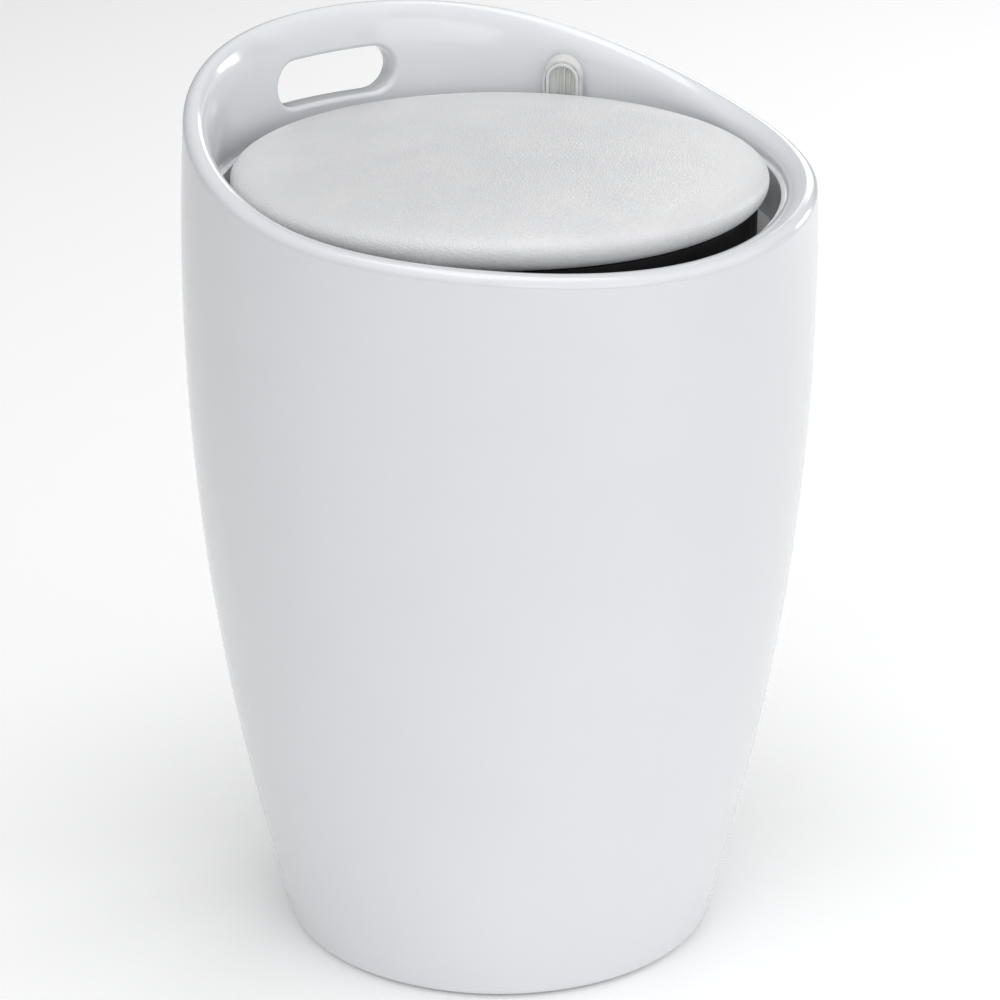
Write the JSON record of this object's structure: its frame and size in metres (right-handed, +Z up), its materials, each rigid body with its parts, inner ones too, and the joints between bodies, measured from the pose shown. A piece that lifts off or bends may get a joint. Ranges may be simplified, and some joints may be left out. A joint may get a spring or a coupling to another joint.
{
  "type": "laundry hamper",
  "caption": "White barrel-shaped laundry hamper that doubles as a stool, with a slanting rim, a handle slot, a padded seat lid and a lift-out fabric bag.",
  "frame": {"origin": "on the floor under the middle of the hamper, level with the undersides of its feet", "axes": "+Z up; +Y toward the high back of the rim, where the handle slot is; -Y toward the low front; +X to the right for someone facing the back from the front"},
  "size_m": [0.3498, 0.35, 0.505],
  "materials": {
    "shell_plastic": "gloss",
    "base_plastic": "satin",
    "foot_rubber": "matte",
    "screw_steel": "satin",
    "hook_plastic": "satin",
    "bag_cloth": "matte",
    "bag_tape": "matte",
    "seat_leather": "satin",
    "seat_foam": "matte",
    "seat_board": "matte"
  },
  "bodies": {
    "body": {"outer_shell": "shell_plastic", "rim_collar": "shell_plastic", "base_plate": "base_plastic", "foot_1": "foot_rubber", "foot_2": "foot_rubber", "foot_3": "foot_rubber", "foot_4": "foot_rubber", "base_screw_1": "screw_steel", "base_screw_2": "screw_steel", "base_screw_3": "screw_steel", "base_screw_4": "screw_steel", "hook_back": "hook_plastic", "hook_front": "hook_plastic", "hook_washer_back": "screw_steel", "hook_washer_front": "screw_steel"},
    "bag": {"bag_wall": "bag_cloth", "bag_bottom": "bag_cloth", "bag_hem": "bag_tape", "bag_loop_back": "bag_tape", "bag_loop_front": "bag_tape"},
    "lid": {"lid_cover": "seat_leather", "lid_foam": "seat_foam", "lid_board": "seat_board", "lid_base": "base_plastic", "lid_screw_1": "screw_steel", "lid_screw_2": "screw_steel", "lid_screw_3": "screw_steel", "lid_screw_4": "screw_steel", "lid_screw_5": "screw_steel", "lid_screw_6": "screw_steel"}
  },
  "joints": [
    {"name": "bag_lift", "type": "slide", "parent": "body", "child": "bag", "axis": [0, 0, 1], "range_m": [0, 0.5]},
    {"name": "lid_lift", "type": "slide", "parent": "bag", "child": "lid", "axis": [0, 0, 1], "range_m": [0, 0.35]}
  ]
}
